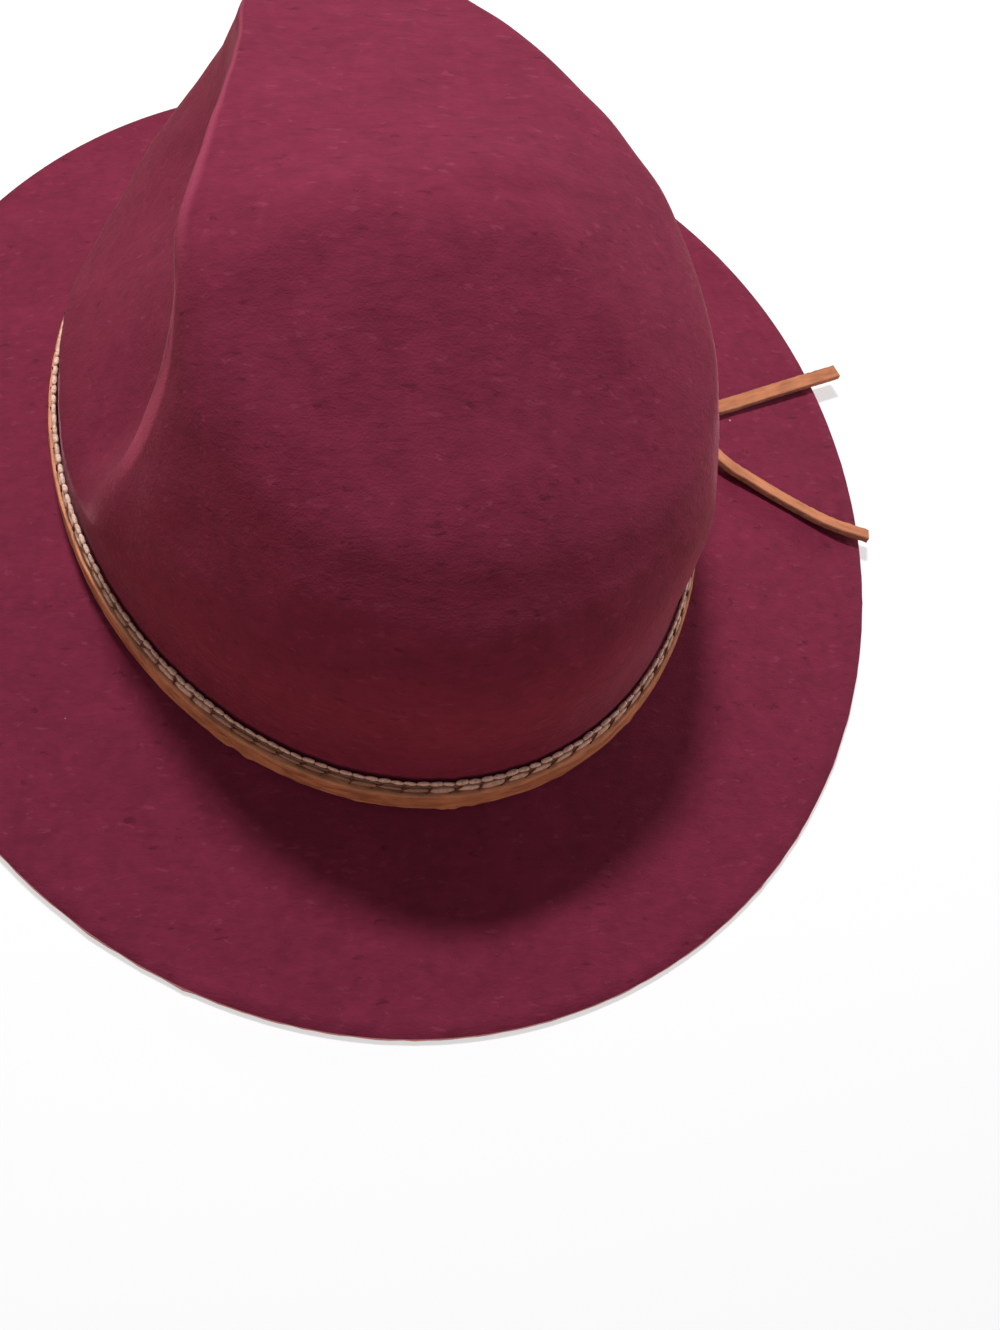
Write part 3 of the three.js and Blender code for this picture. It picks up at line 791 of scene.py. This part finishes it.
def felt_material():
    """Brushed wool: cloudy dye, short streaks of nap, pale flecks and lint, with painted shade in dark
    flecks, painted highlights along the ridge and the fold, and a painted pale glow on the cut edge.
    """
    made, tree, shader = new_material("wine_wool_felt")
    where = object_place(tree)
    brushed = add(tree, "ShaderNodeMapping", {
        "Vector": where, "Rotation": (0, 0, math.radians(-20)), "Scale": (2.4, 1, 1)}, vector_type="TEXTURE")
    streaks = noise(tree, brushed, 620, detail=5, Roughness=0.6, Distortion=0.4)
    mottled = noise(tree, where, 210, detail=3, Distortion=0.6)
    ragged = add(tree, "ShaderNodeVectorMath", {
        0: streaks.node.outputs["Color"], 1: grey(0.0042), 2: brushed}, operation="MULTIPLY_ADD")

    wine = mix(tree, noise(tree, where, 45, detail=4), WINE_DEEP, WINE_BRIGHT)
    for pattern, dark, pale in (
            (streaks, (0.30, grey(0.90)), (0.72, grey(1.08))),
            (mottled, (0.32, (0.91, 0.90, 0.90)), (0.68, (1.08, 1.09, 1.09)))):
        wine = mix(tree, 1.0, wine, ramp(tree, pattern, dark, (0.5, WHITE), pale), "MULTIPLY")
    # Painted highlights: pale lines along the ridge and down the fold, where they catch the lamp
    highlights = maths(tree, "MAXIMUM", product(tree, highlight_share(tree, "ridge"), 0.8), highlight_share(tree, "fold"))
    for marks, strength, colour in (
            (flecks(tree, ragged, scale=520, size=0.34, share=0.34), 0.22, PALE_FIBRES),
            # Painted shade: dark flecks for the shadows of small pills and pits
            (flecks(tree, ragged, scale=430, size=0.30, share=0.22), 0.48, PILL_SHADE),
            (flecks(tree, where, scale=48, size=0.024, share=0.11), 0.9, LINT),
            (highlights, 0.62, PAINTED_HIGHLIGHT)):
        wine = mix(tree, product(tree, marks, strength), wine, colour)
    # Painted light: the brim's cut edge is painted pale, like a glow of light on it
    wine = mix(tree, kept_value(tree, "cut_edge"), wine, CUT_EDGE_GLOW)

    height = mix(tree, 0.35, streaks, noise(tree, where, 1900, detail=2))
    fill(tree, shader, {
        "Base Color": wine, "Roughness": 0.95, "Specular IOR Level": 0.2,
        "Sheen Weight": 0.30, "Sheen Roughness": 0.14, "Sheen Tint": NAP_SHEEN,
        "Normal": bump(tree, height, strength=0.6, distance=0.0006)})
    return made


def leather_material(name, grain_side, cut_side, dark):
    """Hide dyed on its grain side, paler and rougher where it is cut."""
    made, tree, shader = new_material(name)
    where = object_place(tree)
    across = kept_value(tree, "across")
    strip = vector(tree, kept_value(tree, "along"), product(tree, across, 0.012))
    fibres = noise(tree, strip, 110, detail=5, Roughness=0.6)
    pores = add(tree, "ShaderNodeTexVoronoi", {"Vector": where, "Scale": 2600})

    pale = tuple(min(1, c * 1.25) for c in grain_side)
    grain = ramp(tree, fibres, (0.34, dark), (0.52, grain_side), (0.75, pale))
    shade = ramp(tree, noise(tree, where, 120, detail=3), (0.3, (0.82, 0.80, 0.78)), (0.7, grey(1.08)))
    suede = ramp(tree, fibres, (0.3, tuple(c * 0.6 for c in cut_side)), (0.65, cut_side))
    at_cut = ramp(tree, maths(tree, "ABSOLUTE", across), (0.86, BLACK), (0.95, WHITE))
    colour = mix(tree, at_cut, mix(tree, 1.0, grain, shade, "MULTIPLY"), suede)
    rough = ramp(tree, at_cut, (0.0, grey(0.55)), (1.0, grey(0.95)))
    height = mix(tree, 0.3, fibres, pores)
    fill(tree, shader, {
        "Base Color": colour, "Roughness": rough, "Specular IOR Level": 0.3,
        "Normal": bump(tree, height, strength=0.4, distance=0.0003)})
    return made


def lace_material():
    """Cream lace with painted shade on its loose lower strands, and brown thread, whose brown also paints the
    shade in the slits.
    """
    made, tree, shader = new_material("cream_leather_lace")
    where = object_place(tree)
    grain = noise(tree, where, 1400, detail=4)
    cream = mix(tree, noise(tree, where, 240), CREAM_DEEP, CREAM_PALE)
    speckle = ramp(tree, grain, (0.35, (0.68, 0.62, 0.58)), (0.55, WHITE))
    cream = mix(tree, 1.0, cream, speckle, "MULTIPLY")
    cream = mix(tree, kept_value(tree, "lace_shade"), cream, SHADED_LACE)
    fill(tree, shader, {
        # The thread's brown also colours the strip of painted shade in the slits
        "Base Color": mix(tree, kept_value(tree, "thread"), cream, BROWN_THREAD_AND_SLIT_SHADE), "Roughness": 0.7,
        "Specular IOR Level": 0.3, "Normal": bump(tree, grain, strength=0.5, distance=0.0003)})
    return made


# ---------------------------------------------------------------- band, knot and tie ends

BAND_STEPS = 720                        # round the band
ROUTE_STEPS = 16                        # between two points of a tie end's route
CORE_STEPS, WRAP_STEPS = 25, 90         # along the two lengths of lace in the knot

strip_tree = leather_strip_tree()
tie_hide = leather_material("tan_tie_leather", **TIE_HIDE)


def band_inset(height):
    """How far the band stands in at a height, so that it follows the wall behind it."""
    return BAND_LEAN * (height - STRAP["bottom"])


def band_path(name, reach, height, **values):
    """A closed path round the head oval, `reach` outside the felt's foot and leaning with the wall."""
    degrees = np.arange(BAND_STEPS) * 360 / BAND_STEPS
    point, out = head_oval(degrees)
    points = point + out * (reach - band_inset(height))
    points[:, 2] = height
    face = out + np.array([0, 0, BAND_LEAN])
    face /= np.linalg.norm(face, axis=1)[:, None]
    given = {key: value(degrees) for key, value in values.items()}
    return path_object(name, points, closed=True, face=face, **given)


def strap_lumps(degrees):
    """The height of the frayed lumps, in millimetres."""
    height = np.zeros_like(degrees)
    for around, size in FRAYED:
        away = (degrees - around + 180) % 360 - 180
        height += size * np.exp(-(away / LUMP_WIDTH) ** 2)
    return height


def around_fullness(degrees):
    return between(FULLNESS, degrees)


def smooth_route(points):
    """A smooth line through points that lie unevenly far apart (a centripetal spline)."""
    p = np.asarray(points, float)
    p = np.vstack([2 * p[0] - p[1], p, 2 * p[-1] - p[-2]])
    line = []
    for k in range(1, len(p) - 2):
        a, b, c, d = p[k - 1:k + 3]
        t0 = 0.0
        t1 = t0 + np.linalg.norm(b - a) ** 0.5
        t2 = t1 + np.linalg.norm(c - b) ** 0.5
        t3 = t2 + np.linalg.norm(d - c) ** 0.5
        for t in np.linspace(t1, t2, ROUTE_STEPS, endpoint=False):
            a1 = (t1 - t) / (t1 - t0) * a + (t - t0) / (t1 - t0) * b
            a2 = (t2 - t) / (t2 - t1) * b + (t - t1) / (t2 - t1) * c
            a3 = (t3 - t) / (t3 - t2) * c + (t - t2) / (t3 - t2) * d
            b1 = (t2 - t) / (t2 - t0) * a1 + (t - t0) / (t2 - t0) * a2
            b2 = (t3 - t) / (t3 - t1) * a2 + (t - t1) / (t3 - t1) * a3
            line.append((t2 - t) / (t2 - t1) * b1 + (t - t1) / (t2 - t1) * b2)
    line.append(p[-2])
    return np.array(line)


def upright_of(line, roll):
    """The way a strip's broad face looks along its route: up, or rolled over by some degrees."""
    ahead = np.gradient(line, axis=0)
    ahead /= np.linalg.norm(ahead, axis=1)[:, None]
    side = np.stack([-ahead[:, 1], ahead[:, 0], np.zeros(len(ahead))], -1)
    side /= np.linalg.norm(side, axis=1)[:, None]
    up = np.cross(ahead, side)
    return up * np.cos(np.radians(roll)) - side * np.sin(np.radians(roll))


def strip_sizes(width, thick, rounding, step, crease, tear, seed, hide):
    """What the leather strip's tree is given, in millimetres."""
    lengths = {"Width": width, "Thickness": thick, "Rounding": rounding, "Step": step,
               "Crease Depth": crease, "Tear Depth": tear}
    return {**{label: length * MM for label, length in lengths.items()}, "Seed": seed, "Leather": hide}


def cut_strip(name, line, face, sizes):
    path = path_object(name + "_path", line, face=face, lump=np.zeros(len(line)))
    return plain_mesh(name, path, strip_tree, sizes)


def band_strap():
    middle = STRAP["bottom"] + STRAP["height"] / 2
    path = band_path("strap_path", PIECE_GAP + STRAP["thick"] / 2, middle, lump=strap_lumps)
    return plain_mesh("tan_band_strap", path, strip_tree, strip_sizes(
        STRAP["height"], STRAP["thick"], rounding=0.7, step=0.8, crease=0.9, tear=0.9, seed=0.31,
        hide=leather_material("tan_strap_leather", **STRAP_HIDE)))


def band_lacing():
    middle = STRAP["bottom"] + STRAP["height"] + PIECE_GAP + LACING["height"] / 2
    path = band_path("lacing_path", PIECE_GAP + LACING["thick"] / 2, middle, fullness=around_fullness)
    return plain_mesh("cream_lacing", path, laced_edge_tree(), {
        "Strand Thickness": LACING["thick"] * MM, "Lace": lace_material()})


def tie_end(name, node_name, seed):
    """A loose end of the tie, which starts a little inside the knot."""
    roll, route = TIE_ENDS[node_name]
    route = np.array(route, float)
    into_knot = route[0] * (1 + INTO_KNOT) - route[1] * INTO_KNOT
    line = smooth_route(np.vstack([into_knot, route]))
    return cut_strip(name, line, upright_of(line, roll), strip_sizes(
        TIE["width"], TIE["thick"], rounding=0.22, step=0.4, crease=0.1, tear=0.55, seed=seed,
        hide=tie_hide))


def tie_knot():
    """The lace wrapped round itself: a short length along the band and two turns over it."""
    seat, out = (part[0] for part in head_oval(np.array([KNOT["around"]])))
    reach = 2 * PIECE_GAP + STRAP["thick"] - band_inset(KNOT["middle"]) + KNOT["thick"] / 2
    centre = seat + out * reach + np.array([0, 0, KNOT["middle"]])
    up = np.array([0, 0, 1])
    beside = np.cross(up, out)

    t = np.linspace(-0.5, 0.5, CORE_STEPS)
    core = (centre + beside * (t * (KNOT["length"] - 2 * KNOT_CORE["end"]))[:, None]
            + up * (KNOT_CORE["bow"] * np.sin(t * KNOT_CORE["swing"]))[:, None])
    angle = np.linspace(0, 2 * math.pi * KNOT_WRAP["turns"], WRAP_STEPS)
    turns = (out * (np.cos(angle) * (KNOT["thick"] / 2 - KNOT_WRAP["in_out"]))[:, None]
             + up * (np.sin(angle) * (KNOT["height"] / 2 - KNOT_WRAP["in_up"]))[:, None])
    wrap = centre + turns + beside * np.linspace(-0.5, 0.5, len(angle))[:, None] * KNOT_WRAP["spread"]
    wrap_face = turns / np.linalg.norm(turns, axis=1)[:, None]
    return joined("tie_knot", [
        cut_strip(name, line, face, strip_sizes(
            lace["width"], lace["thick"], rounding=0.3, step=0.5, crease=0.25, tear=0.3, seed=seed,
            hide=tie_hide))
        for name, line, face, lace, seed in (
            ("knot_core", core, np.broadcast_to(out, core.shape), KNOT_CORE, 0.2),
            ("knot_wrap", wrap, wrap_face, KNOT_WRAP, 0.5))])


# ---------------------------------------------------------------- floor, light and camera

CROWN = (0, 0, 50)                      # where the lamps look
CAMERA_PLACE = (71.811, 182.686, 298.585)
CAMERA_TURN = (143.788, 64.831, 17.068)  # round the hat, up, and rolled, in degrees
LENS = {"sensor_width": 36, "lens": 32.48, "shift_x": 0.0045, "shift_y": 0.0035, "clip_start": 0.01}


def stage_floor():
    """A white floor that glows a little, lit by its own light alone."""
    mesh = bpy.data.meshes.new("floor")
    far = 3.0
    mesh.from_pydata([(-far, -far, 0), (far, -far, 0), (far, far, 0), (-far, far, 0)], [], [(0, 1, 2, 3)])
    floor = in_scene("floor", mesh)
    white, tree, shader = new_material("white_sweep")
    fill(tree, shader, {
        "Base Color": grey(0.41), "Roughness": 0.9, "Specular IOR Level": 0.1, "Emission Color": WHITE,
        "Emission Strength": 0.57})
    mesh.materials.append(white)
    glow = bpy.data.collections.new("lit_by_the_floor")
    glow.objects.link(floor)
    floor.light_linking.receiver_collection = glow


def soft_light(name, at, size, power, colour=WHITE):
    """A soft lamp of a width and a depth at a place over the hat, in millimetres, turned to the crown."""
    lamp = bpy.data.lights.new(name, "AREA")
    lamp.shape = "ELLIPSE"
    lamp.size, lamp.size_y = size[0] * MM, size[1] * MM
    lamp.energy = power
    lamp.color = colour
    holder = in_scene(name, lamp)
    holder.location = place(at)
    way = holder.location - Vector(place(CROWN))
    holder.rotation_euler = way.to_track_quat("Z", "Y").to_euler()
    holder.visible_camera = False
    return holder


def studio():
    """A white room, one lamp above, and faint light from the right and from the floor."""
    world = bpy.data.worlds.new("white_room")
    world.use_nodes = True
    fill(world.node_tree, world.node_tree.nodes["Background"], {"Color": WHITE, "Strength": 0.28})
    bpy.context.scene.world = world
    soft_light("lamp_above_the_front", at=(-33, -372, 835), size=(180, 80), power=8.5)
    soft_light("low_light_from_the_right", at=(-700, 40, 75), size=(300, 120), power=1.6,
               colour=(1.0, 0.95, 1.0))
    upward = soft_light("warm_light_from_the_floor", at=(0, 0, 0.6), size=(1000, 1000), power=2.3,
                        colour=(1.0, 0.42, 0.19))
    upward.rotation_euler = (math.pi, 0, 0)


def camera():
    """Seen from above and behind the wearer's left shoulder, the head of the camera turned a little."""
    azimuth, elevation, roll = (math.radians(d) for d in CAMERA_TURN)
    back = Vector((math.sin(azimuth) * math.cos(elevation), -math.cos(azimuth) * math.cos(elevation),
                   math.sin(elevation)))
    right = Vector((0, 0, 1)).cross(back).normalized()
    up = back.cross(right)
    c, s = math.cos(roll), math.sin(roll)
    turned_right, turned_up = c * right + s * up, c * up - s * right
    lens = bpy.data.cameras.new("camera")
    for key, value in LENS.items():
        setattr(lens, key, value)
    holder = in_scene("camera", lens)
    turn = Matrix((turned_right, turned_up, back)).transposed().to_4x4()
    holder.matrix_world = Matrix.Translation(Vector(place(CAMERA_PLACE))) @ turn
    bpy.context.scene.camera = holder


# ---------------------------------------------------------------- the pieces, and the stage

felt = felt_hat()
felt.data.materials.append(felt_material())
kept(felt, "felt_body")

kept(band_strap(), "band_strap")
kept(band_lacing(), "band_lacing")
kept(tie_end("upper_tie_end", "tie_end_upper", seed=0.11), "tie_end_upper")
kept(tie_end("lower_tie_end", "tie_end_lower", seed=0.73), "tie_end_lower")
kept(tie_knot(), "band_knot")

stage_floor()
studio()
camera()
bpy.context.scene.view_settings.view_transform = "Standard"
